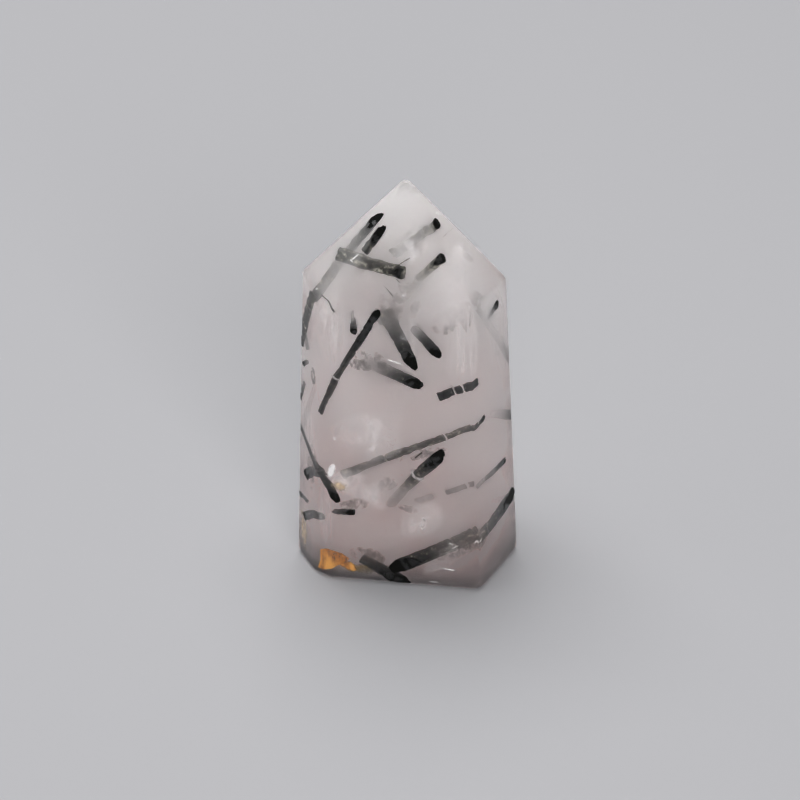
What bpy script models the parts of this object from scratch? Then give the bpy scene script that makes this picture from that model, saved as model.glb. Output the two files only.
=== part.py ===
"""A polished point of milky quartz, shot through with black tourmaline needles.

The quartz is one stone with six sides. It is ground from a block, facet by facet: six side facets
that draft inwards, a narrow one rolled along the left front edge, six crown facets that meet at the
tip, a flat base with a small chamfer, and a nick across the right front corner of the base. Every
needle reaches a polished facet, where the grinding cut it off, so each lies in a pocket of the
quartz that is open at that facet. Where a needle snapped inside the stone, its lengths are separate
pieces, end to end in one pocket.

Blender, metres, +Z up. The point stands on its base, with the middle of its box at the origin, and
its front facet looks along -Y.
"""

from math import cos, pi, radians, sin

import bmesh
import bpy
from mathutils import Vector

MM = 0.001

# The stone, in millimetres
HEIGHT = 65.0
TIP = (-0.4, -1.05)
CHAMFER = 0.6
EDGE_ROUND = 0.2

# Side facets: the heading that each looks in degrees (0 is -Y and 90 is +X), how far it leans back
# from upright in degrees, and how far it stands from the origin in millimetres.
SIDE_FACETS = {
    "front": (355.6, 1.4, 9.63),
    "right_front": (64, 3.5, 14.7),
    "right_back": (118, 2.0, 14.4),
    "back": (180.5, 2.0, 10.6),
    "left_back": (243, 1.0, 13.7),
    "left_front": (299.5, 2.0, 15.4),
    "rolled_edge": (329.3, 1.5, 13.2),
}

# The nick at the right front corner of the base leans out over it, so it dies out upwards.
CORNER_NICK = (25, -20, 12.58)

# Crown facets, which all meet at the tip: the heading that each looks, and how steep it is from
# level, in degrees.
CROWN_FACETS = {
    "front": (353.8, 67.7),
    "right_front": (65, 56),
    "right_back": (118, 52),
    "back": (179, 59),
    "left_back": (241, 50.5),
    "left_front": (318.6, 58.1),
}

# How the needles sit in the quartz, in millimetres
POCKET_GAP = 0.3
UNDERCUT = 0.1
BREAK_GAP = 0.3
OUTREACH = 7.0

# A needle's section is a triangle with swollen sides, which narrows and widens along its length.
NEEDLE_SIDES = 9
BULGE = 0.10
WAIST = 0.05
RING_SPACING = 3.0
WAIST_WAVE = 1.9

# Needles, in millimetres: the thickness where the first facet cuts it and at its far end, then the
# points that it runs through. The first is on a facet, and each between the ends is a break.
FRONT_NEEDLES = {
    "long_upper": (
        1.4,
        1.9,
        [(-4.4, -2.5, 59.1), (-8.1, 0.1, 50.8), (-12.9, -1.5, 43.6), (-15.0, -0.7, 36.8)],
    ),
    "ridge": (1.2, 1.1, [(-3.8, -3.7, 57.7), (-5.8, -3.4, 54.2)]),
    "crossing": (1.9, 2.0, [(-0.4, -5.7, 52.2), (-9.7, -1.5, 52.4)]),
    "upper_right": (1.6, 1.5, [(4.0, -2.2, 58.4), (2.4, -2.0, 56.9), (-1.9, -1.4, 52.9)]),
    "middle_right": (1.5, 1.1, [(4.9, -5.7, 55.0), (1.6, -3.7, 50.4), (0.3, -3.1, 47.6)]),
    "shoulder": (1.3, 0.9, [(12.4, -1.6, 44.8), (9.7, -1.0, 42.6)]),
    "long_left": (1.3, 0.8, [(-4.4, -8.2, 46.5), (-9.9, -6.5, 35.2), (-12.0, -5.9, 28.4)]),
    "drop": (1.2, 0.6, [(-7.3, -7.9, 43.8), (-7.4, -3.0, 44.4)]),
    "centre": (1.8, 2.5, [(0.8, -8.8, 39.4), (-2.8, -3.9, 45.2)]),
    "centre_right": (1.6, 1.5, [(4.4, -9.0, 41.2), (1.1, -4.0, 43.1)]),
    "centre_low": (1.8, 2.1, [(1.5, -9.0, 35.8), (-5.8, -1.6, 36.2)]),
    "right_stub": (
        1.5,
        1.3,
        [(4.6, -8.7, 33.7), (6.9, -8.1, 34.6), (8.1, -7.8, 35.0), (9.9, -7.2, 35.6)],
    ),
    "belt": (
        1.0,
        1.5,
        [
            (11.3, -6.7, 28.9),
            (9.5, -6.7, 27.9),
            (5.7, -6.9, 26.0),
            (-2.9, -6.4, 21.6),
            (-9.1, -5.0, 17.6),
        ],
    ),
    "lower": (2.0, 1.6, [(4.6, -9.5, 23.4), (1.8, -6.8, 19.2), (-2.3, -2.8, 11.9)]),
    "left_thin": (1.4, 0.7, [(-10.2, -8.4, 14.9), (-12.0, -5.3, 17.9), (-16.7, 0.9, 24.6)]),
    "left_stub": (1.7, 1.5, [(-14.8, -4.0, 15.7), (-10.9, -3.4, 17.3)]),
    "left_foot": (1.4, 1.2, [(-15.2, -3.8, 7.9), (-11.0, -3.1, 9.1)]),
    "left_low": (0.9, 0.8, [(-15.9, -2.3, 10.9), (-12.9, -1.6, 9.7)]),
    "low_left": (1.2, 1.0, [(-7.8, -8.8, 12.6), (-10.2, -5.6, 11.2)]),
    "right_faint": (1.0, 1.1, [(14.1, -2.1, 17.9), (9.0, -3.7, 16.3), (5.8, -4.7, 15.3)]),
    "bottom": (
        2.4,
        2.3,
        [(15.2, -1.3, 10.6), (10.2, -4.5, 8.0), (7.1, -6.1, 6.6), (-2.6, -10.5, 2.8)],
    ),
    "bottom_left": (2.0, 1.8, [(-0.8, -9.6, 0.9), (-6.4, -6.4, 3.2)]),
    "left_dot": (0.8, 0.8, [(-15.1, -2.3, 34.1), (-12.6, -0.5, 33.9)]),
    "left_edge": (0.9, 0.9, [(-15.4, -1.6, 28.0), (-13.0, 0.6, 29.4)]),
}

BACK_NEEDLES = {
    "back_long": (1.6, 1.2, [(8.2, 11.0, 13.2), (2.2, 6.6, 22.9), (-3.9, 4.2, 31.0)]),
    "back_crossing": (1.5, 1.4, [(-6.2, 10.3, 33.4), (4.4, 6.2, 37.5)]),
    "back_middle": (1.6, 1.9, [(4.6, 9.4, 43.2), (-0.4, -0.6, 45.4)]),
    "back_upper": (1.3, 1.1, [(-3.4, 8.2, 49.6), (3.2, 3.0, 51.6)]),
    "back_lower": (1.8, 1.4, [(-8.5, 10.6, 7.6), (-2.2, 5.4, 12.6)]),
    "back_left_long": (1.2, 1.0, [(-12.3, 5.7, 14.7), (-7.6, 4.6, 28.1)]),
    "back_left_stub": (1.4, 1.1, [(-12.7, 4.6, 40.3), (-12.1, 0.4, 35.5)]),
    "back_right_long": (1.4, 1.2, [(13.2, 4.9, 30.0), (10.4, 1.6, 37.4), (7.4, -2.2, 45.2)]),
    "back_right_stub": (1.6, 1.3, [(14.2, 3.4, 22.4), (7.2, 1.8, 24.6)]),
    "back_right_foot": (1.2, 1.0, [(12.2, 7.6, 5.4), (6.2, 3.0, 8.8)]),
}

# These two lie level with their facet, which only skims them, so both of their ends are blunt.
SKIMMED = ("crossing", "right_stub")

QUARTZ_COLOUR = (0.86, 0.79, 0.80)
QUARTZ_ROUGHNESS = 0.04
QUARTZ_CLEARNESS = 0.95
TOURMALINE_COLOUR = (0.012, 0.011, 0.011)
TOURMALINE_ROUGHNESS = 0.35


def facing(heading, rise):
    """The outward direction of a facet that looks along heading and rise degrees up from level."""
    flat = cos(radians(rise))
    return Vector((sin(radians(heading)) * flat, -cos(radians(heading)) * flat, sin(radians(rise))))


def facet_planes():
    """Every facet of the stone as its outward direction and its distance from the origin."""
    tip = Vector((*TIP, HEIGHT)) * MM
    planes = []
    for heading, lean, reach in [*SIDE_FACETS.values(), CORNER_NICK]:
        planes.append((facing(heading, lean), reach * MM))
    for heading, slope in CROWN_FACETS.values():
        direction = facing(heading, 90 - slope)
        planes.append((direction, direction.dot(tip)))
    for heading, _, reach in SIDE_FACETS.values():
        direction = facing(heading, -45)
        foot = facing(heading, 0) * (reach - CHAMFER) * MM
        planes.append((direction, direction.dot(foot)))
    planes.append((Vector((0, 0, -1)), 0.0))
    return planes


def grind(bm, planes, inset=0.0):
    """Cuts away all that stands outside the facets, each moved inwards by inset."""
    for direction, reach in planes:
        cut = bmesh.ops.bisect_plane(
            bm,
            geom=bm.verts[:] + bm.edges[:] + bm.faces[:],
            dist=0.0001 * MM,
            plane_co=direction * (reach - inset * MM),
            plane_no=direction,
            clear_outer=True,
        )
        rim = [e for e in cut["geom_cut"] if isinstance(e, bmesh.types.BMEdge)]
        if rim:
            bmesh.ops.edgeloop_fill(bm, edges=rim)


def ground_block(planes):
    """The rough block, ground to every facet, with its edges eased as polishing leaves them."""
    bm = bmesh.new()
    bmesh.ops.create_cube(bm, size=2 * HEIGHT * MM)
    bmesh.ops.translate(bm, verts=bm.verts, vec=Vector((0, 0, HEIGHT * MM / 2)))
    grind(bm, planes)
    bmesh.ops.remove_doubles(bm, verts=bm.verts, dist=2 * EDGE_ROUND * MM)
    bmesh.ops.bevel(
        bm,
        geom=bm.edges[:],
        offset=EDGE_ROUND * MM,
        segments=1,
        affect="EDGES",
        clamp_overlap=True,
    )
    return bm


def box_middle(bm):
    """The middle of the stone's box, level with its base."""
    xs = [v.co.x for v in bm.verts]
    ys = [v.co.y for v in bm.verts]
    return Vector(((min(xs) + max(xs)) / 2, (min(ys) + max(ys)) / 2, 0))


def stations(points, thick, start_by, end_by, spacing):
    """Centres and thicknesses along a needle, from start_by to end_by millimetres along it."""
    spans = [(b - a).length for a, b in zip(points, points[1:])]
    whole = sum(spans)
    steps = int((end_by - start_by) / spacing)
    even = [start_by + (end_by - start_by) * k / (steps + 1) for k in range(1, steps + 1)]
    bends = [sum(spans[:k]) for k in range(1, len(spans))]
    bends = [b for b in bends if start_by < b < end_by]
    even = [m for m in even if all(abs(m - b) > spacing / 3 for b in bends)]
    placed = []
    for mark in sorted([start_by, end_by, *even, *bends]):
        left = mark
        for a, b, span in zip(points, points[1:], spans):
            if left <= span or b is points[-1]:
                share = min(max(mark / whole, 0), 1)
                placed.append((a.lerp(b, left / span), thick[0] + (thick[1] - thick[0]) * share))
                break
            left -= span
    return placed


def prism(placed, axis, phase, waist):
    """A closed prism through the stations, with every ring square to the needle's axis."""
    turn = axis.to_track_quat("Z", "Y")
    bm = bmesh.new()
    rings = []
    for number, (centre, thickness) in enumerate(placed):
        radius = thickness / 2 * (1 + waist * sin(WAIST_WAVE * number + phase))
        ring = []
        for side in range(NEEDLE_SIDES):
            around = 2 * pi * side / NEEDLE_SIDES
            out = radius * (1 + BULGE * cos(3 * around))
            at = centre + turn @ Vector((out * cos(around), out * sin(around), 0))
            ring.append(bm.verts.new(at * MM))
        rings.append(ring)
    for low, high in zip(rings, rings[1:]):
        for side in range(NEEDLE_SIDES):
            after = (side + 1) % NEEDLE_SIDES
            bm.faces.new((low[side], low[after], high[after], high[side]))
    bm.faces.new(rings[0][::-1])
    bm.faces.new(rings[-1])
    return bm


def add_object(name, bm, material, parent):
    """Turns the bmesh into an object of that name and material, under the stone's frame."""
    bmesh.ops.recalc_face_normals(bm, faces=bm.faces)
    mesh = bpy.data.meshes.new(name)
    bm.to_mesh(mesh)
    bm.free()
    mesh.materials.append(material)
    obj = bpy.data.objects.new(name, mesh)
    bpy.context.scene.collection.objects.link(obj)
    obj.parent = parent
    return obj


def add_needle(name, thick, points, phase, planes, material, parent):
    """One needle as its lengths between breaks, each ground off just under the facets."""
    spans = [(b - a).length for a, b in zip(points, points[1:])]
    letters = "abcd" if len(spans) > 1 else [""]
    outreach = 0.0 if name in SKIMMED else OUTREACH
    reached = 0.0
    for number, (span, letter) in enumerate(zip(spans, letters)):
        first = number == 0
        last = number == len(spans) - 1
        start_by = -outreach if first else reached + BREAK_GAP / 2
        end_by = reached + span if last else reached + span - BREAK_GAP / 2
        placed = stations(points, thick, start_by, end_by, RING_SPACING)
        bm = prism(placed, points[-1] - points[0], phase + number, WAIST)
        grind(bm, planes, UNDERCUT)
        add_object(f"needle_{name}{'_' + letter if letter else ''}", bm, material, parent)
        reached += span


def add_pocket(name, thick, points, planes, material, parent, cutters):
    """The room that the stone leaves around a needle, as a cutter that runs out past its facet."""
    length = sum((b - a).length for a, b in zip(points, points[1:]))
    wide = [t * (1 + WAIST) + 2 * POCKET_GAP for t in thick]
    start_by = -POCKET_GAP if name in SKIMMED else -OUTREACH
    placed = stations(points, wide, start_by, length + POCKET_GAP, length + OUTREACH)
    bm = prism(placed, points[-1] - points[0], 0.0, 0.0)
    cutter = add_object(f"pocket_{name}", bm, material, parent)
    bpy.context.scene.collection.objects.unlink(cutter)
    cutters.objects.link(cutter)
    cutter.hide_render = True
    cutter.display_type = "WIRE"


def make_material(name, colour, roughness, transmission=0.0, ior=1.5):
    material = bpy.data.materials.new(name)
    material.use_nodes = True
    shader = material.node_tree.nodes["Principled BSDF"]
    shader.inputs["Base Color"].default_value = (*colour, 1)
    shader.inputs["Roughness"].default_value = roughness
    shader.inputs["Metallic"].default_value = 0.0
    shader.inputs["Transmission Weight"].default_value = transmission
    shader.inputs["IOR"].default_value = ior
    return material


def build():
    for old in list(bpy.data.objects):
        bpy.data.objects.remove(old)

    milky_quartz = make_material(
        "milky_quartz", QUARTZ_COLOUR, QUARTZ_ROUGHNESS, QUARTZ_CLEARNESS, 1.544
    )
    tourmaline = make_material("black_tourmaline", TOURMALINE_COLOUR, TOURMALINE_ROUGHNESS, 0, 1.64)

    planes = facet_planes()
    stone = ground_block(planes)
    frame = bpy.data.objects.new("stone_frame", None)
    bpy.context.scene.collection.objects.link(frame)
    frame.location = -box_middle(stone)
    quartz = add_object("quartz_point", stone, milky_quartz, frame)

    pockets = bpy.data.collections.new("pockets")
    bpy.context.scene.collection.children.link(pockets)
    for phase, (name, (start, end, run)) in enumerate({**FRONT_NEEDLES, **BACK_NEEDLES}.items()):
        points = [Vector(p) for p in run]
        add_needle(name, (start, end), points, phase, planes, tourmaline, frame)
        add_pocket(name, (start, end), points, planes, tourmaline, frame, pockets)

    hollowing = quartz.modifiers.new("needle_pockets", "BOOLEAN")
    hollowing.operation = "DIFFERENCE"
    hollowing.operand_type = "COLLECTION"
    hollowing.collection = pockets
    hollowing.solver = "EXACT"


build()
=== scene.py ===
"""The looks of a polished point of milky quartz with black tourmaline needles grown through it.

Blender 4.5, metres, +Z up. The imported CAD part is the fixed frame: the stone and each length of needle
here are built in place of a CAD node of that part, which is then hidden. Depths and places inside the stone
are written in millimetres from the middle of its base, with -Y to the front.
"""

from math import atan2, cos, pi, radians, sin

import bpy
import numpy as np
from mathutils import Matrix, Quaternion, Vector, noise


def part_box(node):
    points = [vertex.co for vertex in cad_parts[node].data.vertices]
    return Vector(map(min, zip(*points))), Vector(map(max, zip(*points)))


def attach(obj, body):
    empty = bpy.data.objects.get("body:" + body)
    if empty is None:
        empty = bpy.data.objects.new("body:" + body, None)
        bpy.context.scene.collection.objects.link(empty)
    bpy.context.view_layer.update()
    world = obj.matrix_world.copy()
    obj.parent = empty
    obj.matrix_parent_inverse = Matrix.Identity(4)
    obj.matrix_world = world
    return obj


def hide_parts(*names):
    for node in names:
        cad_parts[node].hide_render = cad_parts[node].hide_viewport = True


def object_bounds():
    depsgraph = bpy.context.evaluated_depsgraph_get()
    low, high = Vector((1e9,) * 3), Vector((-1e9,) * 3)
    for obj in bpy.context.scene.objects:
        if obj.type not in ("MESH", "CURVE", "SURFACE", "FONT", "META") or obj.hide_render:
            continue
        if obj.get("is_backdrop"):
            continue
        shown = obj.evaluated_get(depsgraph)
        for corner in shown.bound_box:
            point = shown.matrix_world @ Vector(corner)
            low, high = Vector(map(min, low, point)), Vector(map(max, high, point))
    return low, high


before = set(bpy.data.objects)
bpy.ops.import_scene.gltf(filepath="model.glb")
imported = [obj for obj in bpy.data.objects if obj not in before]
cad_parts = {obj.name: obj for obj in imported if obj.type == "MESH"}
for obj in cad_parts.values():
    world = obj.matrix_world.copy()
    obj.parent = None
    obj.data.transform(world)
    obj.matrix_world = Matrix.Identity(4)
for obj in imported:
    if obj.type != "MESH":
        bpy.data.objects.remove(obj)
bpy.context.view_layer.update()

MM = 0.001

# The stone: one natural crystal of milky quartz, cut to six sides and a six-faceted tip and polished.
# It is ground from a cube, facet by facet, with bisect in edit mode. The corner at the left front was
# rolled over on the wheel, so it takes a wide soft bevel, and the other edges are only eased.
HEIGHT = 65.0
TIP = (-0.4, -1.05)
FOOT_CHAMFER = 0.6
SIDE_FACETS = {
    "front": (355.6, 1.4, 9.63),
    "right_front": (64, 3.5, 14.7),
    "right_back": (118, 2.0, 14.4),
    "back": (180.5, 2.0, 10.6),
    "left_back": (243, 1.0, 13.7),
    "left_front": (299.5, 2.0, 15.4),
    "rolled_edge": (329.3, 1.5, 13.2),
}
CORNER_NICK = (25, -20, 12.58)
CROWN_FACETS = {
    "front": (353.8, 67.7),
    "right_front": (65, 56),
    "right_back": (118, 52),
    "back": (179, 59),
    "left_back": (241, 50.5),
    "left_front": (318.6, 58.1),
}
EASED_EDGE = 0.45
ROLLED_EDGE = 1.2


def facing(heading, rise):
    """The outward direction of a facet that looks along heading and rise degrees up from level."""
    flat = cos(radians(rise))
    return Vector((sin(radians(heading)) * flat, -cos(radians(heading)) * flat, sin(radians(rise))))


def sort_facets():
    """Every facet of the stone as its outward direction and its distance from the axis, in metres."""
    tip = Vector((*TIP, HEIGHT)) * MM
    planes = [(facing(h, lean), reach * MM) for h, lean, reach in [*SIDE_FACETS.values(), CORNER_NICK]]
    for heading, slope in CROWN_FACETS.values():
        direction = facing(heading, 90 - slope)
        planes.append((direction, direction.dot(tip)))
    for heading, _, reach in SIDE_FACETS.values():
        direction = facing(heading, -45)
        planes.append((direction, direction.dot(facing(heading, 0) * (reach - FOOT_CHAMFER) * MM)))
    planes.append((Vector((0, 0, -1)), 0.0))
    return planes


facets = sort_facets()
bpy.ops.object.select_all(action="DESELECT")
bpy.ops.mesh.primitive_cube_add(size=2 * HEIGHT * MM, location=(0, 0, HEIGHT * MM / 2))
stone = bpy.context.object
stone.name = "quartz_stone"
bpy.ops.object.transform_apply(location=True, rotation=False, scale=False)
bpy.ops.object.mode_set(mode="EDIT")
for direction, reach in facets:
    bpy.ops.mesh.select_all(action="SELECT")
    bpy.ops.mesh.bisect(
        plane_co=direction * reach, plane_no=direction, use_fill=True, clear_outer=True, threshold=1e-7
    )
bpy.ops.mesh.select_all(action="SELECT")
bpy.ops.mesh.remove_doubles(threshold=0.4 * MM)
bpy.ops.mesh.normals_make_consistent(inside=False)
bpy.ops.object.mode_set(mode="OBJECT")

roll = facing(*SIDE_FACETS["rolled_edge"][:2])
for edge in stone.data.edges:
    edge.select = False
for face in stone.data.polygons:
    face.select = face.normal.dot(roll) > 0.999
edge_soft = stone.data.attributes.new("bevel_weight_edge", "FLOAT", "EDGE")
rolled = {key for face in stone.data.polygons if face.select for key in face.edge_keys}
for edge in stone.data.edges:
    run = stone.data.vertices[edge.vertices[0]].co - stone.data.vertices[edge.vertices[1]].co
    upright = abs(run.normalized().z) > 0.9
    edge_soft.data[edge.index].value = 1.0 if edge.key in rolled and upright else EASED_EDGE / ROLLED_EDGE
bevel = stone.modifiers.new("eased_edges", "BEVEL")
bevel.limit_method = "WEIGHT"
bevel.width = ROLLED_EDGE * MM
bevel.segments = 4
bpy.ops.object.modifier_apply(modifier="eased_edges")


def box_of(piece):
    """The lowest and the highest corner of a piece."""
    points = np.array([v.co for v in piece.data.vertices])
    return Vector(points.min(0)), Vector(points.max(0))


low, high = box_of(stone)
node_low, node_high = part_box("quartz_point")
stone_at = (node_low + node_high) / 2 - (low + high) / 2
stone_at.z = 0
bpy.ops.object.mode_set(mode="EDIT")
bpy.ops.mesh.select_all(action="SELECT")
bpy.ops.transform.translate(value=stone_at)
bpy.ops.object.mode_set(mode="OBJECT")
bpy.ops.object.shade_smooth_by_angle(angle=radians(12))


def linear(hex_colour):
    """An sRGB hex colour as the linear numbers that a shader takes."""
    parts = [int(hex_colour[i : i + 2], 16) / 255 for i in (1, 3, 5)]
    return (*[c / 12.92 if c <= 0.04045 else ((c + 0.055) / 1.055) ** 2.4 for c in parts], 1.0)


def add_node(tree, kind, settings=None, links=None):
    """Adds one node. links gives each input a value, or the output of another node."""
    node = tree.nodes.new(kind)
    for name, value in (settings or {}).items():
        setattr(node, name, value)
    for name, value in (links or {}).items():
        if isinstance(value, bpy.types.NodeSocket):
            tree.links.new(value, node.inputs[name])
        else:
            node.inputs[name].default_value = value
    return node


# Milky quartz, polished on a wheel: water-clear silica clouded by tiny fluid bubbles, so light goes in
# and comes back as a soft pinkish glow. The bubbles crowd the middle of the crystal, in drifts, and the
# last few millimetres grew clearer. The polish leaves it glossy, with a faint ripple.
QUARTZ_IOR = 1.544
RIPPLE = 4.0
MILK_REACH = 1.6
SKIN_SHARE = 0.16
LEAST_SHARE = 0.08
MILK_HALF_WIDTH = 15.5
MILK_HALF_DEPTH = 9.5
FULL_MILK_WITHIN = 0.45
THIN_MILK_PAST = 0.95
DRIFT = 6.0
TINT = "#f2b0a4"
# The absorption is deeper at the foot than higher up: painted shade, so the stone grows darker towards the
# bottom, over its own pinkish colour.
TINT_AND_SHADE_AT_FOOT = 19.0
TINT_HIGHER_UP = 8.5
TINT_AND_SHADE_HEIGHT = 35.0
PALEST_PATCH = 0.1
DEEPEST_PATCH = 2.4
# Thicker and clearer clouds: the middle, the radius, and the share of the full milk that each adds.
CLOUDS = [
    ((4.8, -4.4, 47.8), 6.0, 0.8),
    ((0.5, -3.2, 54.7), 2.5, 0.7),
    ((6.4, -2.6, 51.6), 4.0, 0.5),
    ((11.3, -0.8, 40.0), 7.0, 0.9),
    ((12.0, 2.0, 32.0), 4.0, 0.5),
    ((-5.9, -5.6, 22.7), 5.0, 0.35),
    ((3.7, -5.6, 12.4), 4.5, 0.4),
    ((6.5, -5.5, 4.0), 5.5, 0.7),
    ((-4.0, -5.0, 3.5), 5.0, 0.4),
    ((-12.8, -1.2, 42.8), 6.0, -0.6),
    ((-4.8, -4.6, 52.6), 6.0, -0.4),
    ((-14.0, -3.5, 13.0), 6.0, -0.4),
]


def in_stone(at):
    """A place in millimetres from the middle of the stone's base, as a point in metres."""
    return Vector(at) * MM + stone_at


polished_quartz = bpy.data.materials.new("milky_quartz_polished")
polished_quartz.use_nodes = True
tree = polished_quartz.node_tree
tree.nodes.clear()
place = add_node(tree, "ShaderNodeTexCoord").outputs["Object"]
ripple = add_node(
    tree, "ShaderNodeTexNoise", links={"Vector": place, "Scale": 1 / (RIPPLE * MM), "Detail": 2.0}
)
polish = add_node(
    tree, "ShaderNodeBump", links={"Height": ripple.outputs["Fac"], "Strength": 0.15, "Distance": 0.05 * MM}
)
shader = add_node(
    tree,
    "ShaderNodeBsdfPrincipled",
    links={
        "Base Color": linear("#ffffff"),
        "Roughness": 0.03,
        "IOR": QUARTZ_IOR,
        "Transmission Weight": 1.0,
        "Normal": polish.outputs["Normal"],
    },
)
across = add_node(
    tree,
    "ShaderNodeVectorMath",
    {"operation": "MULTIPLY"},
    {0: place, 1: (1 / (MILK_HALF_WIDTH * MM), 1 / (MILK_HALF_DEPTH * MM), 0)},
)
outness = add_node(tree, "ShaderNodeVectorMath", {"operation": "LENGTH"}, {0: across.outputs["Vector"]})
drifts = add_node(
    tree, "ShaderNodeTexNoise", links={"Vector": place, "Scale": 1 / (DRIFT * MM), "Detail": 3.0}
)
shifted = add_node(
    tree, "ShaderNodeMath", {"operation": "MULTIPLY_ADD"}, {0: drifts.outputs["Fac"], 1: 1.0, 2: -0.5}
)
outness = add_node(
    tree, "ShaderNodeMath", {"operation": "ADD"}, {0: outness.outputs["Value"], 1: shifted.outputs["Value"]}
)
thickness = add_node(
    tree,
    "ShaderNodeMapRange",
    {"interpolation_type": "SMOOTHSTEP"},
    {
        "Value": outness.outputs["Value"],
        "From Min": THIN_MILK_PAST,
        "From Max": FULL_MILK_WITHIN,
        "To Min": SKIN_SHARE,
        "To Max": 1.0,
    },
)
share = thickness.outputs["Result"]
for middle, radius, extra in CLOUDS:
    away = add_node(tree, "ShaderNodeVectorMath", {"operation": "DISTANCE"}, {0: place, 1: in_stone(middle)})
    cloud = add_node(
        tree,
        "ShaderNodeMapRange",
        {"interpolation_type": "SMOOTHSTEP"},
        {"Value": away.outputs["Value"], "From Min": radius * MM, "From Max": 0.0, "To Max": extra},
    )
    share = add_node(
        tree, "ShaderNodeMath", {"operation": "ADD"}, {0: share, 1: cloud.outputs["Result"]}
    ).outputs["Value"]
share = add_node(tree, "ShaderNodeMath", {"operation": "MAXIMUM"}, {0: share, 1: LEAST_SHARE})
density = add_node(
    tree, "ShaderNodeMath", {"operation": "MULTIPLY"}, {0: share.outputs["Value"], 1: 1 / (MILK_REACH * MM)}
)
milk = add_node(
    tree,
    "ShaderNodeVolumeScatter",
    links={"Color": linear("#ffffff"), "Density": density.outputs["Value"], "Anisotropy": 0.7},
)
height = add_node(tree, "ShaderNodeSeparateXYZ", links={"Vector": place}).outputs["Z"]
# Painted shade: the absorption thickens towards the foot, so the lower stone looks darker, as under light
# from above. The patches below are tone that differs at random.
tint_and_shade_by_height = add_node(
    tree,
    "ShaderNodeMapRange",
    links={
        "Value": height,
        "From Max": TINT_AND_SHADE_HEIGHT * MM,
        "To Min": TINT_AND_SHADE_AT_FOOT,
        "To Max": TINT_HIGHER_UP,
    },
)
patches = add_node(
    tree,
    "ShaderNodeMapRange",
    links={
        "Value": drifts.outputs["Fac"],
        "From Min": 0.3,
        "From Max": 0.7,
        "To Min": PALEST_PATCH,
        "To Max": DEEPEST_PATCH,
    },
)
tint_and_shade_share = add_node(
    tree,
    "ShaderNodeMath",
    {"operation": "MULTIPLY"},
    {0: tint_and_shade_by_height.outputs["Result"], 1: patches.outputs["Result"]},
)
tint_and_shade = add_node(
    tree,
    "ShaderNodeVolumeAbsorption",
    links={"Color": linear(TINT), "Density": tint_and_shade_share.outputs["Value"]},
)
inside = add_node(tree, "ShaderNodeAddShader", links={0: milk.outputs["Volume"], 1: tint_and_shade.outputs["Volume"]})
surface = add_node(tree, "ShaderNodeOutputMaterial")
tree.links.new(shader.outputs["BSDF"], surface.inputs["Surface"])
tree.links.new(inside.outputs["Shader"], surface.inputs["Volume"])
stone.data.materials.append(polished_quartz)
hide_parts("quartz_point")
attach(stone, "root")


# The needles: black tourmaline (schorl) that grew before the quartz closed round it. Each is a rounded
# three-sided prism, grooved along its length and cracked across it, cut off by the facet that it meets.
# Each length is a copy of its CAD node, ringed with bisect and then grooved and roughened.
RING_EVERY = 0.5
GROOVES_ROUND = 4
GROOVE_LENGTH = 6
GROOVE_DEPTH = 0.05
LUMP_SIZE = 0.8
LUMP_DEPTH = 0.3
END_FACE = 0.1
SPLINTER_SIZE = 0.35
RAGGED_END = 0.7
STRIA_WIDTH = 0.14
STRIA_LENGTH = 3.0
TYPICAL_RADIUS = 0.7
# A ground end lies bare in the polish, a hair proud of it, and stays black this deep.
BARE_END = 0.12
PROUD = 0.01
BLACK_END = 0.3
# The share of a needle that is worn and crusted pale. It grows a little with each millimetre of depth.
FROST_BY_DEPTH = 0.05
FROST_ELSEWHERE = 0.1
FROSTED = {
    "crossing": 0.45,
    "upper_right": 0.48,
    "middle_right": 0.55,
    "belt": 0.38,
    "ridge": 0.4,
    "long_upper": 0.3,
    "lower": 0.35,
    "bottom": 0.3,
    "long_left": 0.25,
    "centre": 0.25,
    "centre_low": 0.25,
}
FROST_GRAIN = 0.7
# Noise above a threshold is crusted. Greenish wear leads up to it, and a little past it all is white.
THRESHOLD_UNFROSTED = 0.66
THRESHOLD_FROSTED = 0.38
WEAR_BEFORE = 0.07
CRUST_PAST = 0.015
WHITE_PAST = 0.06

# Natural tourmaline is near black, and satiny along its fine grooves. Worn spots look olive, and crusts of
# fine quartz look pale grey.
tourmaline = bpy.data.materials.new("black_tourmaline_natural")
tourmaline.use_nodes = True
tree = tourmaline.node_tree
tree.nodes.clear()
along = add_node(tree, "ShaderNodeUVMap", {"uv_map": "needle"}).outputs["UV"]
cut = add_node(tree, "ShaderNodeAttribute", {"attribute_name": "cut_end"}).outputs["Fac"]
place = add_node(tree, "ShaderNodeTexCoord").outputs["Object"]
stretched = add_node(
    tree, "ShaderNodeMapping", links={"Vector": along, "Scale": (1 / STRIA_WIDTH, 1 / STRIA_LENGTH, 1)}
)
striae = add_node(tree, "ShaderNodeTexNoise", links={"Vector": stretched.outputs["Vector"], "Scale": 1.0})
frost_share = add_node(tree, "ShaderNodeAttribute", {"attribute_name": "frost_share"}).outputs["Fac"]
frost = add_node(
    tree,
    "ShaderNodeTexNoise",
    links={"Vector": place, "Scale": 1 / (FROST_GRAIN * MM), "Detail": 8.0, "Roughness": 0.75},
)
bare = add_node(
    tree,
    "ShaderNodeMapRange",
    links={"Value": frost_share, "To Min": THRESHOLD_UNFROSTED, "To Max": THRESHOLD_FROSTED},
).outputs["Result"]
crusted = add_node(tree, "ShaderNodeMath", {"operation": "ADD"}, {0: bare, 1: CRUST_PAST}).outputs["Value"]
white = add_node(tree, "ShaderNodeMath", {"operation": "ADD"}, {0: bare, 1: WHITE_PAST}).outputs["Value"]
frosted = add_node(
    tree,
    "ShaderNodeMapRange",
    links={"Value": frost.outputs["Fac"], "From Min": crusted, "From Max": white},
)
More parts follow.
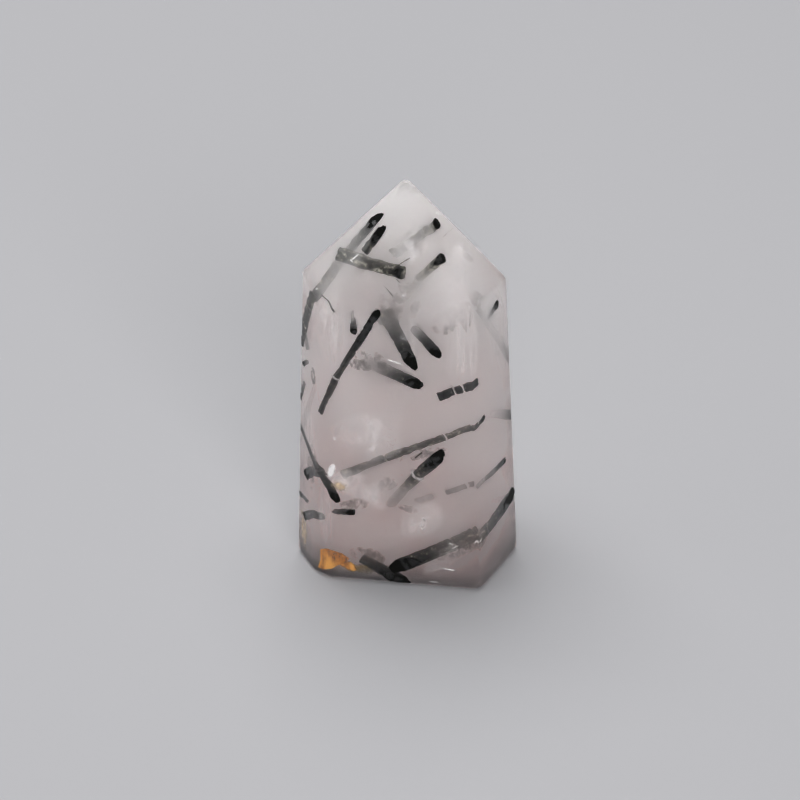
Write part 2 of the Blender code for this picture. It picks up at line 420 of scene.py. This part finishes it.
uncut = add_node(tree, "ShaderNodeMath", {"operation": "SUBTRACT", "use_clamp": True}, {0: 1.0, 1: cut})
frosted = add_node(
    tree,
    "ShaderNodeMath",
    {"operation": "MULTIPLY"},
    {0: frosted.outputs["Result"], 1: uncut.outputs["Value"]},
)
dark = add_node(
    tree, "ShaderNodeMath", {"operation": "SUBTRACT"}, {0: bare, 1: WEAR_BEFORE}
).outputs["Value"]
greened = add_node(
    tree,
    "ShaderNodeMapRange",
    links={
        "Value": frost.outputs["Fac"],
        "From Min": dark,
        "From Max": bare,
        "To Max": uncut.outputs["Value"],
    },
)
worn = add_node(
    tree,
    "ShaderNodeMix",
    {"data_type": "RGBA"},
    {0: greened.outputs["Result"], 6: linear("#080807"), 7: linear("#302e24")},
)
colour = add_node(
    tree,
    "ShaderNodeMix",
    {"data_type": "RGBA"},
    {0: frosted.outputs["Value"], 6: worn.outputs[2], 7: linear("#bab6aa")},
)
rough = add_node(
    tree, "ShaderNodeMapRange", links={"Value": frost.outputs["Fac"], "To Min": 0.25, "To Max": 0.6}
)
grooves = add_node(
    tree, "ShaderNodeBump", links={"Height": striae.outputs["Fac"], "Strength": 0.6, "Distance": 0.05 * MM}
)
shader = add_node(
    tree,
    "ShaderNodeBsdfPrincipled",
    links={
        "Base Color": colour.outputs[2],
        "Roughness": rough.outputs["Result"],
        "IOR": 1.15,
        "Normal": grooves.outputs["Normal"],
    },
)
add_node(tree, "ShaderNodeOutputMaterial", links={"Surface": shader.outputs["BSDF"]})


def needle_line(points):
    """The middle of a needle and the direction that it runs in."""
    middle = points.mean(0)
    return Vector(middle), Vector(np.linalg.svd(points - middle)[2][0])


def places_along(needle, middle, run):
    """How far along the needle each of its vertices lies, in metres from its middle."""
    return [(v.co - middle).dot(run) for v in needle.data.vertices]


def nearest_facet(at):
    """The outward direction of the facet that is nearest over a point, and how deep the point is."""
    direction, reach = min(facets, key=lambda facet: facet[1] - facet[0].dot(at - stone_at))
    return direction, reach - direction.dot(at - stone_at)


def ring_needle(middle, run, near_end, far_end):
    """Merges the active needle's CAD triangles, cuts rings across it and halves every edge."""
    bpy.ops.object.mode_set(mode="EDIT")
    bpy.ops.mesh.select_all(action="SELECT")
    bpy.ops.mesh.remove_doubles(threshold=0.001 * MM)
    rings = int((far_end - near_end) / (RING_EVERY * MM))
    for ring in range(1, rings):
        at = middle + run * (near_end + (far_end - near_end) * ring / rings)
        bpy.ops.mesh.select_all(action="SELECT")
        bpy.ops.mesh.bisect(plane_co=at, plane_no=run, threshold=1e-7)
    bpy.ops.mesh.select_all(action="SELECT")
    bpy.ops.mesh.subdivide(number_cuts=1)
    bpy.ops.object.mode_set(mode="OBJECT")


def groove_needle(needle, middle, run, side):
    """Grooves that run along the needle, and hollows where crumbs of it are gone."""
    other = run.cross(side)
    for vert in needle.data.vertices:
        off = vert.co - middle
        flat = off - run * off.dot(run)
        if flat.length < 0.1 * MM:
            continue
        around = atan2(flat.dot(other), flat.dot(side))
        groove = noise.noise(
            Vector(
                (
                    cos(around) * GROOVES_ROUND,
                    sin(around) * GROOVES_ROUND,
                    off.dot(run) / (GROOVE_LENGTH * MM),
                )
            )
        )
        lump = noise.noise(vert.co / (LUMP_SIZE * MM))
        vert.co += flat.normalized() * (GROOVE_DEPTH * groove + LUMP_DEPTH * min(lump, 0)) * MM


def splinter_ends(needle, middle, run, near_end, far_end):
    """Draws both ends of the needle back in places, as a snapped crystal is."""
    drawn_back = [
        RAGGED_END * MM * max(0, noise.noise(v.co / (SPLINTER_SIZE * MM))) for v in needle.data.vertices
    ]
    along_now = places_along(needle, middle, run)
    for vert, back_by, place_along in zip(needle.data.vertices, drawn_back, along_now):
        if place_along < near_end + END_FACE * MM:
            vert.co += run * back_by
        elif place_along > far_end - END_FACE * MM:
            vert.co -= run * back_by


def bare_ground_end(needle):
    """Draws what lies just under a facet out into the polish. The base stays covered."""
    for vert in needle.data.vertices:
        direction, under = nearest_facet(vert.co)
        if under < BARE_END * MM and direction.z > -0.9:
            vert.co += direction * (under + PROUD * MM)


def mark_surface(needle, frost):
    """Stores how pale each vertex may be, and whether it belongs to a ground end."""
    needle.data.attributes.new("frost_share", "FLOAT", "POINT")
    needle.data.attributes.new("cut_end", "FLOAT", "POINT")
    pale = needle.data.attributes["frost_share"].data
    ground = needle.data.attributes["cut_end"].data
    for vert in needle.data.vertices:
        under = nearest_facet(vert.co)[1]
        pale[vert.index].value = frost + FROST_BY_DEPTH * max(0, under / MM - 1)
        ground[vert.index].value = 1.0 if under < BLACK_END * MM else 0.0


def unroll_needle(needle, middle, run, side):
    """Lays a UV map in millimetres: round the needle in U, and along it in V."""
    other = run.cross(side)
    laid = needle.data.uv_layers.new(name="needle")
    for face in needle.data.polygons:
        off = face.center - middle
        first = atan2(off.dot(other), off.dot(side))
        for corner in face.loop_indices:
            off = needle.data.vertices[needle.data.loops[corner].vertex_index].co - middle
            turn = atan2(off.dot(other), off.dot(side)) - first
            turn = (turn + pi) % (2 * pi) - pi
            laid.data[corner].uv = ((first + turn) * TYPICAL_RADIUS, off.dot(run) / MM)
    needle.data.uv_layers.active = laid


ends = {}
for name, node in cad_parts.items():
    if not name.startswith("needle_"):
        continue
    needle = bpy.data.objects.new(name.replace("needle_", "tourmaline_"), node.data.copy())
    bpy.context.scene.collection.objects.link(needle)
    needle.data.materials.clear()
    needle.data.materials.append(tourmaline)
    bpy.ops.object.select_all(action="DESELECT")
    needle.select_set(True)
    bpy.context.view_layer.objects.active = needle
    middle, run = needle_line(np.array([v.co for v in needle.data.vertices]))
    side = run.orthogonal().normalized()
    spread = places_along(needle, middle, run)
    near_end, far_end = min(spread), max(spread)
    ends[name] = [middle + run * near_end, middle + run * far_end]
    ring_needle(middle, run, near_end, far_end)
    groove_needle(needle, middle, run, side)
    splinter_ends(needle, middle, run, near_end, far_end)
    bare_ground_end(needle)
    title = name.removeprefix("needle_")
    if title[-2:] in ("_a", "_b", "_c", "_d"):
        title = title[:-2]
    mark_surface(needle, FROSTED.get(title, FROST_ELSEWHERE))
    unroll_needle(needle, middle, run, side)
    bpy.ops.object.shade_smooth_by_angle(angle=radians(40))
    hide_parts(name)
    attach(needle, "root")


# Where a needle snapped, the quartz healed round a thin pale film. A film is a flat closed lens across
# the gap between two lengths, a little wider than the needle and ragged at its rim.
FILM = 0.12
PALE_BREAKS = ("long_left", "right_stub", "lower", "middle_right", "ridge")


def add_lens(name, at, way, size, material, spin=0.0):
    """A thin closed lens at a place in metres that faces way, with size in millimetres."""
    bpy.ops.object.select_all(action="DESELECT")
    bpy.ops.mesh.primitive_uv_sphere_add(segments=24, ring_count=12, radius=0.5)
    lens = bpy.context.object
    lens.name = name
    turn = Vector(way).to_track_quat("Z", "Y") @ Quaternion((0, 0, 1), radians(spin))
    lens.matrix_world = Matrix.LocRotScale(at, turn, Vector(size) * MM)
    bpy.ops.object.transform_apply(location=True, rotation=True, scale=True)
    bpy.ops.object.shade_smooth()
    lens.data.materials.append(material)
    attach(lens, "root")
    return lens


def film_material(name, colours, grain, clear_from, clear_to, most=1.0, stretch=(1, 1, 1), fray=0.4):
    """A thin film in the quartz: two colours mixed by noise, grain millimetres across.

    Noise under clear_from leaves it clear, and noise over clear_to makes it as solid as most allows.
    With fray the noise eats into the rim. Without it the film fades out evenly.
    """
    film = bpy.data.materials.new(name)
    film.use_nodes = True
    tree = film.node_tree
    tree.nodes.clear()
    place = add_node(tree, "ShaderNodeTexCoord").outputs["Object"]
    drawn = add_node(tree, "ShaderNodeMapping", links={"Vector": place, "Scale": stretch}).outputs["Vector"]
    blotch = add_node(
        tree,
        "ShaderNodeTexNoise",
        links={"Vector": drawn, "Scale": 1 / (grain * MM), "Detail": 4.0, "Roughness": 0.6},
    ).outputs["Fac"]
    around = add_node(tree, "ShaderNodeTexCoord").outputs["UV"]
    from_pole = add_node(tree, "ShaderNodeSeparateXYZ", links={"Vector": around}).outputs["Y"]
    off_rim = add_node(tree, "ShaderNodeMath", {"operation": "SUBTRACT"}, {0: from_pole, 1: 0.5})
    off_rim = add_node(tree, "ShaderNodeMath", {"operation": "ABSOLUTE"}, {0: off_rim.outputs["Value"]})
    off_rim = off_rim.outputs["Value"]
    body = blotch
    fullest = 1.0
    if fray:
        eaten = add_node(
            tree,
            "ShaderNodeMapRange",
            links={"Value": off_rim, "From Max": 0.35, "To Min": -fray, "To Max": 0.0},
        )
        body = add_node(
            tree, "ShaderNodeMath", {"operation": "ADD"}, {0: blotch, 1: eaten.outputs["Result"]}
        ).outputs["Value"]
    else:
        fading = add_node(
            tree,
            "ShaderNodeMapRange",
            {"interpolation_type": "SMOOTHSTEP"},
            {"Value": off_rim, "From Max": 0.4},
        )
        fullest = fading.outputs["Result"]
    solid = add_node(
        tree,
        "ShaderNodeMapRange",
        links={"Value": body, "From Min": clear_from, "From Max": clear_to, "To Max": fullest},
    )
    opacity = add_node(tree, "ShaderNodeMapRange", links={"Value": solid.outputs["Result"], "To Max": most})
    deep = add_node(tree, "ShaderNodeMapRange", links={"Value": blotch, "From Min": 0.35, "From Max": 0.62})
    colour = add_node(
        tree,
        "ShaderNodeMix",
        {"data_type": "RGBA"},
        {0: deep.outputs["Result"], 6: linear(colours[0]), 7: linear(colours[1])},
    )
    shader = add_node(
        tree,
        "ShaderNodeBsdfPrincipled",
        links={
            "Base Color": colour.outputs[2],
            "Roughness": 0.5,
            "IOR": 1.1,
            "Alpha": opacity.outputs["Result"],
        },
    )
    add_node(tree, "ShaderNodeOutputMaterial", links={"Surface": shader.outputs["BSDF"]})
    return film


break_film = film_material("quartz_break_film", ("#e8e2e2", "#ffffff"), 0.5, 0.1, 0.45, most=0.7)
for name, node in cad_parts.items():
    after = name[:-1] + chr(ord(name[-1]) + 1)
    if name.removeprefix("needle_")[:-2] not in PALE_BREAKS or after not in ends:
        continue
    last, first = min(
        ((a, b) for a in ends[name] for b in ends[after]), key=lambda pair: (pair[0] - pair[1]).length
    )
    corners = np.array([v.co for v in node.data.vertices])
    middle, run = needle_line(corners)
    off = corners - np.array(middle)
    wide = 2 * np.linalg.norm(off - np.outer(off @ np.array(run), np.array(run)), axis=1).max() / MM
    add_lens(
        name.replace("needle_", "break_") + after[-1],
        (last + first) / 2,
        run,
        (wide * 1.05, wide * 1.05, FILM),
        break_film,
    )


# Drifts: where the milk is a little thicker, it hangs in soft pale clouds. Each is a thin closed lens
# of the same bubbles, patchy with noise and faded out towards its rim.
DRIFTS = {
    "drift_ridge": ((-7.4, -0.7, 50.8), (-0.5, -0.6, 0.5), (4.0, 13.0), -48),
    "drift_crown": ((0.5, -4.0, 54.9), (0.1, -0.9, 0.4), (5.0, 4.0), 20),
    "drift_crown_right": ((5.6, -2.4, 51.8), (0.4, -0.7, 0.5), (7.0, 5.0), 40),
    "drift_cloud": ((5.0, -5.2, 48.4), (0.2, -0.9, 0.4), (10.0, 9.0), 30),
    "drift_middle": ((-5.1, -7.0, 25.6), (0.0, -0.95, 0.1), (12.0, 9.0), 12),
    "drift_low_left": ((-6.2, -7.3, 15.4), (-0.1, -0.95, 0.1), (12.0, 4.0), -20),
    "drift_foot": ((2.2, -7.8, 11.4), (0.1, -0.95, 0.1), (9.0, 6.0), 25),
    "drift_belt": ((-8.7, -6.4, 17.6), (0.0, -0.95, 0.1), (6.5, 3.4), 14),
    "drift_lower": ((-3.0, -6.6, 16.3), (0.0, -0.95, 0.1), (5.0, 4.0), 35),
    "drift_wedge": ((6.2, -7.9, 5.0), (0.1, -0.97, 0.05), (9.0, 3.4), 38),
}


def hang_lenses(lenses, thick, material):
    """Lenses by name: the place and the way each faces, its width and height, and its spin."""
    for name, (at, way, (wide, tall), spin) in lenses.items():
        add_lens(name, in_stone(at), way, (wide, tall, thick), material, spin)


drift = film_material(
    "milk_drift", ("#f2ecee", "#ffffff"), 3.2, 0.36, 0.78, most=0.36, stretch=(1, 1, 0.6), fray=0
)
hang_lenses(DRIFTS, 0.15, drift)

# Veils: cracks in the quartz that healed and kept sheets of tiny bubbles. They show in the clearer skin
# as pale upright streaks, and are thin closed lenses with noise drawn out along their height.
VEILS = {
    "veil_upper_left": ((-10.3, -5.4, 43.2), (-0.4, -0.9, 0.2), (5.0, 15.0), 8),
    "veil_right": ((7.6, -6.8, 41.0), (0.2, -0.97, 0.1), (5.0, 13.0), 0),
    "veil_right_side": ((11.4, -0.6, 40.0), (0.9, -0.4, 0.2), (6.5, 16.0), 6),
    "veil_centre": ((0.5, -7.2, 42.5), (0.1, -0.95, 0.1), (3.0, 9.0), -8),
    "veil_corner": ((-11.6, -7.1, 11.0), (-0.5, -0.85, 0.05), (2.6, 12.0), 2),
    "veil_left": ((-13.5, -3.0, 21.5), (-0.85, -0.5, 0.05), (5.5, 13.0), 6),
}
veil = film_material(
    "healed_crack_veil", ("#f2ecee", "#ffffff"), 0.6, 0.35, 0.8, most=0.28, stretch=(1, 1, 0.08), fray=0
)
hang_lenses(VEILS, 0.15, veil)

# Flakes: small open cracks near the surface, full of air. They are white, and their white is also a painted
# glint, standing in for the light that such cracks mirror as bright specks and scratches. Each is a small
# thin closed lens with a frayed rim.
GLINT_FLAKES = {
    # The first two are painted highlights: white lenses on the tip near its right edge, where the light
    # catches it.
    "flake_crown": ((0.7, -3.7, 55.0), (0.1, -0.8, 0.6), (0.8, 0.5), 20),
    "flake_edge": ((3.7, -0.5, 58.9), (0.4, -0.5, 0.6), (0.6, 0.4), -40),
    "flake_dot_upper": ((-0.4, -6.7, 49.2), (0, -0.8, 0.5), (0.4, 0.35), 0),
    "flake_dot_left": ((-12.6, -3.4, 47.7), (-0.6, -0.6, 0.5), (0.5, 0.25), 40),
    "flake_hook": ((-5.2, -7.3, 39.7), (0, -0.8, 0.5), (1.1, 0.22), 22),
    "flake_dot_low": ((-10.2, -7.9, 25.2), (-0.2, -0.8, 0.5), (0.4, 0.45), 0),
    "flake_dot_mid": ((-5.2, -7.6, 28.2), (0, -0.8, 0.5), (0.6, 0.3), 30),
    "flake_white": ((-10.7, -7.7, 19.4), (-0.3, -0.8, 0.4), (1.0, 2.3), -12),
    "flake_ring": ((3.1, -8.2, 21.2), (0.1, -0.8, 0.5), (1.5, 0.7), 48),
    "flake_bottom": ((6.8, -8.8, 7.8), (0.1, -0.8, 0.5), (0.9, 0.2), -20),
    "flake_bottom_thin": ((7.3, -8.7, 7.2), (0.1, -0.8, 0.5), (1.3, 0.2), 30),
    "flake_foot": ((4.3, -9.4, 0.9), (0.1, -0.8, -0.5), (1.6, 0.25), -8),
    "flake_foot_long": ((6.5, -9.3, 3.3), (0.2, -0.8, 0.4), (2.4, 0.25), -14),
    "flake_scratch_a": ((1.2, -8.8, 11.0), (0.1, -0.8, 0.5), (1.5, 0.16), 22),
    "flake_scratch_b": ((1.0, -8.8, 11.6), (0.1, -0.8, 0.5), (1.2, 0.14), -35),
    "flake_scratch_c": ((2.2, -8.9, 11.0), (0.1, -0.8, 0.5), (0.9, 0.14), 50),
    "flake_scratch_d": ((-0.9, -8.7, 8.9), (0.1, -0.8, 0.5), (0.8, 0.16), 35),
    "flake_scratch_e": ((-0.2, -8.7, 9.7), (0.1, -0.8, 0.5), (0.7, 0.12), 40),
    "flake_crossing": ((-8.2, -2.9, 52.8), (-0.5, -0.6, 0.5), (2.6, 0.3), -14),
    "flake_crossing_back": ((-7.1, -3.4, 53.2), (-0.3, -0.8, 0.5), (1.6, 0.25), 50),
    "flake_left": ((-13.6, -4.7, 13.9), (-0.8, -0.5, 0.3), (0.6, 0.3), 0),
    "flake_centre": ((-1.6, -7.7, 38.9), (0, -0.8, 0.5), (2.4, 0.3), -14),
    "flake_right": ((10.3, -8.3, 8.2), (0.4, -0.8, 0.4), (0.8, 0.2), 50),
}
crack = film_material("open_crack_flake", ("#f4f4f4", "#ffffff"), 0.5, 0.05, 0.35)
hang_lenses(GLINT_FLAKES, 0.1, crack)

# Iron stain: rust that crept along cracks near the left front of the base, orange where it is thick,
# with olive beside it and a yellow fleck higher up. The films lie just behind the polish.
RUST_PATCH = [
    (-12.5, -7.0, 4.4),
    (-11.5, -7.5, 5.0),
    (-10.6, -7.8, 4.9),
    (-9.4, -8.2, 4.7),
    (-8.3, -8.5, 3.9),
    (-8.9, -8.4, 3.0),
    (-10.0, -8.1, 2.4),
    (-10.9, -7.8, 1.5),
    (-12.2, -7.3, 0.9),
    (-12.9, -7.0, 1.0),
    (-12.5, -7.1, 2.5),
]


def add_sheet(name, outline, way, thick, material):
    """A thin closed sheet through a ring of points in millimetres, like a film that fills a crack."""
    bpy.ops.object.select_all(action="DESELECT")
    bpy.ops.mesh.primitive_circle_add(vertices=len(outline), radius=MM, fill_type="NGON")
    sheet = bpy.context.object
    sheet.name = name
    for vert, at in zip(sheet.data.vertices, outline):
        vert.co = in_stone(at)
    bpy.ops.object.mode_set(mode="EDIT")
    bpy.ops.mesh.select_all(action="SELECT")
    inwards = -Vector(way).normalized() * thick * MM
    bpy.ops.mesh.extrude_region_move(TRANSFORM_OT_translate={"value": inwards})
    bpy.ops.mesh.select_all(action="SELECT")
    bpy.ops.mesh.normals_make_consistent(inside=False)
    bpy.ops.object.mode_set(mode="OBJECT")
    for corner in sheet.data.uv_layers[0].data:
        corner.uv = (0, 0)
    sheet.data.materials.append(material)
    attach(sheet, "root")
    return sheet


rust = film_material("iron_stain", ("#9a5414", "#f2b45c"), 1.3, 0.1, 0.5, most=0.9, stretch=(1, 1, 0.45))
add_sheet("rust_patch", RUST_PATCH, (-0.35, -0.93, 0.05), 0.1, rust)
hang_lenses({"rust_tail": ((-8.6, -8.1, 2.6), (-0.1, -0.95, 0.1), (3.4, 1.6), -30)}, 0.1, rust)
straw = film_material("straw_stain", ("#c09c68", "#ead8b8"), 0.8, 0.3, 0.6, most=0.7)
hang_lenses({"straw_fleck": ((-9.6, -7.8, 16.7), (-0.1, -0.8, 0.5), (2.8, 2.0), -25)}, 0.12, straw)
hang_lenses({"straw_edge": ((-14.9, -2.8, 5.0), (-0.86, -0.5, 0.05), (2.6, 8.0), 8)}, 0.1, straw)
olive = film_material("olive_stain", ("#4a3c18", "#7a6426"), 1.2, 0.3, 0.65, most=0.7)
hang_lenses({"olive_patch": ((-6.2, -7.7, 1.9), (0, -0.95, 0.1), (4.6, 1.9), -14)}, 0.12, olive)

# Smudges: painted shade, small dark blotches hung in the milk where the needles shade it. They are thin
# closed lenses with frayed rims, and all of them face the front. Each has a place, a width, a height and a
# spin.
SMUDGE_WAY = (0.1, -0.9, 0.35)
SMUDGES = [
    ((-2.0, -3.2, 54.5), 1.6, 1.2, 30),
    ((7.4, 0.4, 50.8), 2.4, 1.6, -30),
    ((8.4, -2.8, 46.6), 3.0, 1.8, 20),
    ((6.0, -4.8, 43.6), 3.0, 1.6, 40),
    ((1.2, -4.6, 46.2), 2.6, 1.8, 50),
    ((-3.4, -4.6, 45.0), 4.0, 3.4, -30),
    ((-6.4, -5.6, 37.1), 4.4, 2.4, -20),
    ((-12.0, -2.4, 32.6), 2.0, 3.4, -10),
    ((2.8, -5.4, 14.3), 4.4, 1.8, 15),
    ((0.2, -5.6, 12.5), 3.4, 1.6, -20),
]
smudge = film_material(
    "tourmaline_dust", ("#121210", "#3c3a38"), 0.7, 0.32, 0.7, most=0.7, stretch=(1, 1, 0.8), fray=0.5
)
for number, (at, wide, tall, spin) in enumerate(SMUDGES):
    add_lens(f"smudge_{number}", in_stone(at), SMUDGE_WAY, (wide, tall, 0.12), smudge, spin)

# Haze: painted shade, dark and soft, that trails off the needles' buried ends where they shade the milk. It
# lies in thin closed lenses whose opacity is broken up by noise and fades out towards the rim.
HAZE = {
    "haze_left": ((-13.2, -4.4, 18.2), (-0.8, -0.55, 0.1), (3.2, 7.0), 0),
    "haze_low_left": ((-7.4, -7.2, 13.4), (0.0, -0.95, 0.1), (5.0, 2.4), 10),
    "haze_foot": ((-5.5, -7.0, 4.2), (0.0, -0.95, 0.1), (6.0, 3.0), -10),
    "haze_centre": ((-2.2, -4.4, 46.2), (0.0, -0.9, 0.35), (5.0, 4.0), -35),
    "haze_centre_low": ((-5.0, -5.8, 38.4), (0.0, -0.9, 0.35), (6.0, 3.0), -20),
    "haze_middle_right": ((-0.6, -4.6, 48.6), (0.1, -0.8, 0.5), (4.0, 2.6), 45),
    "haze_right": ((5.4, -4.8, 44.6), (0.1, -0.9, 0.35), (5.0, 3.0), 35),
    "haze_lower": ((-2.2, -6.2, 17.4), (0.0, -0.95, 0.1), (5.0, 2.6), 42),
    "haze_bottom": ((8.2, -7.8, 6.8), (0.1, -0.95, 0.1), (9.0, 3.0), 28),
    "haze_bottom_left": ((-2.0, -7.6, 3.6), (0.0, -0.95, 0.1), (6.0, 2.4), 14),
    "haze_belt": ((2.0, -7.2, 22.9), (0.0, -0.95, 0.1), (9.0, 2.0), 17),
}
haze = film_material(
    "tourmaline_haze", ("#2c2824", "#544a44"), 1.4, 0.42, 0.66, most=0.5, stretch=(1, 1, 0.8), fray=0
)
hang_lenses(HAZE, 0.12, haze)

# Hairs: tourmaline too fine to be a needle, black threads just under the facets. Each is a thin
# straight cylinder from its start to its end, in millimetres like its thickness.
HAIRS = {
    "hair_crossing": ((-1.2, -5.2, 53.3), (0.4, -5.0, 54.4), 0.12),
    "hair_below": ((-3.1, -6.1, 50.4), (-1.9, -6.6, 49.1), 0.12),
    "hair_below_short": ((-1.5, -5.9, 51.5), (-0.9, -6.1, 51.0), 0.14),
    "hair_lower": ((2.4, -8.7, 23.9), (1.4, -8.3, 22.7), 0.22),
    "hair_arc_a": ((-11.8, -4.2, 47.2), (-10.7, -5.2, 46.9), 0.16),
    "hair_arc_b": ((-10.7, -5.2, 46.9), (-10.0, -6.2, 45.9), 0.22),
    "hair_crown": ((4.6, -2.6, 56.3), (5.9, 0.1, 56.2), 0.08),
}
for name, (start, end, thick) in HAIRS.items():
    run = Vector(end) - Vector(start)
    bpy.ops.object.select_all(action="DESELECT")
    bpy.ops.mesh.primitive_cylinder_add(vertices=8, radius=0.5, depth=1)
    hair = bpy.context.object
    hair.name = name
    middle = in_stone((Vector(start) + Vector(end)) / 2)
    hair.matrix_world = Matrix.LocRotScale(
        middle, run.to_track_quat("Z", "Y"), Vector((thick, thick, run.length)) * MM
    )
    bpy.ops.object.transform_apply(location=True, rotation=True, scale=True)
    hair.data.uv_layers[0].name = "needle"
    hair.data.materials.append(tourmaline)
    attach(hair, "root")


# The floor: a plain table top under pale matt paper. It is a flat disc that reaches well past the edge
# of any view.
bpy.ops.object.select_all(action="DESELECT")
bpy.ops.mesh.primitive_circle_add(vertices=64, radius=3.0, fill_type="NGON", location=(0, 0, 0))
floor = bpy.context.object
floor.name = "floor"
paper = bpy.data.materials.new("pale_paper")
paper.use_nodes = True
tree = paper.node_tree
tree.nodes.clear()
shader = add_node(
    tree, "ShaderNodeBsdfPrincipled", links={"Base Color": linear("#7a7a7c"), "Roughness": 0.9, "IOR": 1.3}
)
add_node(tree, "ShaderNodeOutputMaterial", links={"Surface": shader.outputs["BSDF"]})
floor.data.materials.append(paper)
floor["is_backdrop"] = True

# Soft studio light: a broad box above and behind, one low on the left that the left facet of the tip
# mirrors, a fill from the front that no facet mirrors, and an even pale room. Each box has a place and
# a size in metres, a power in watts, and whether facets mirror it.
LIGHTS = {
    "overhead_box": ((-0.10, 0.20, 0.80), 0.7, 15.5, True),
    "left_box": ((-0.80, -0.17, 0.25), 0.6, 1.6, True),
    "front_box": ((0.25, -0.85, 0.42), 0.6, 13.0, False),
}
AIMED_AT = (0, 0, 0.03)
for name, (at, size, power, mirrored) in LIGHTS.items():
    bpy.ops.object.light_add(type="AREA", location=at)
    box = bpy.context.object
    box.name = name
    box.data.shape = "SQUARE"
    box.data.size = size
    box.data.energy = power
    box.rotation_euler = (Vector(AIMED_AT) - Vector(at)).to_track_quat("-Z", "Y").to_euler()
    box.visible_glossy = mirrored

room = bpy.data.worlds.new("room")
bpy.context.scene.world = room
room.use_nodes = True
room.node_tree.nodes["Background"].inputs["Color"].default_value = linear("#e7e7ea")
room.node_tree.nodes["Background"].inputs["Strength"].default_value = 0.3

# The camera stands where the photograph was taken from, 35 degrees up and a little to the right of
# square. The place that it looks at is in the stone, in millimetres like its distance.
CAMERA_RISE = 35.0
CAMERA_TURN = 3.2
CAMERA_AWAY = 450.0
LOOKS_AT = (-1.28, 0.0, 26.7)
LENS = 139.2

back = Vector(
    (
        sin(radians(CAMERA_TURN)) * cos(radians(CAMERA_RISE)),
        -cos(radians(CAMERA_TURN)) * cos(radians(CAMERA_RISE)),
        sin(radians(CAMERA_RISE)),
    )
)
right = Vector((cos(radians(CAMERA_TURN)), sin(radians(CAMERA_TURN)), 0))
bpy.ops.object.camera_add(location=in_stone(LOOKS_AT) + back * CAMERA_AWAY * MM)
camera = bpy.context.object
camera.rotation_euler = Matrix((right, back.cross(right), back)).transposed().to_euler()
camera.data.lens = LENS
camera.data.clip_start = 0.02
camera.data.clip_end = 20
bpy.context.scene.camera = camera

# Light crosses the milk many times before it comes out, so it may turn often.
bpy.context.scene.cycles.volume_bounces = 24
bpy.context.scene.cycles.max_bounces = 40
bpy.context.scene.cycles.transmission_bounces = 24
bpy.context.scene.view_settings.view_transform = "Standard"

low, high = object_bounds()
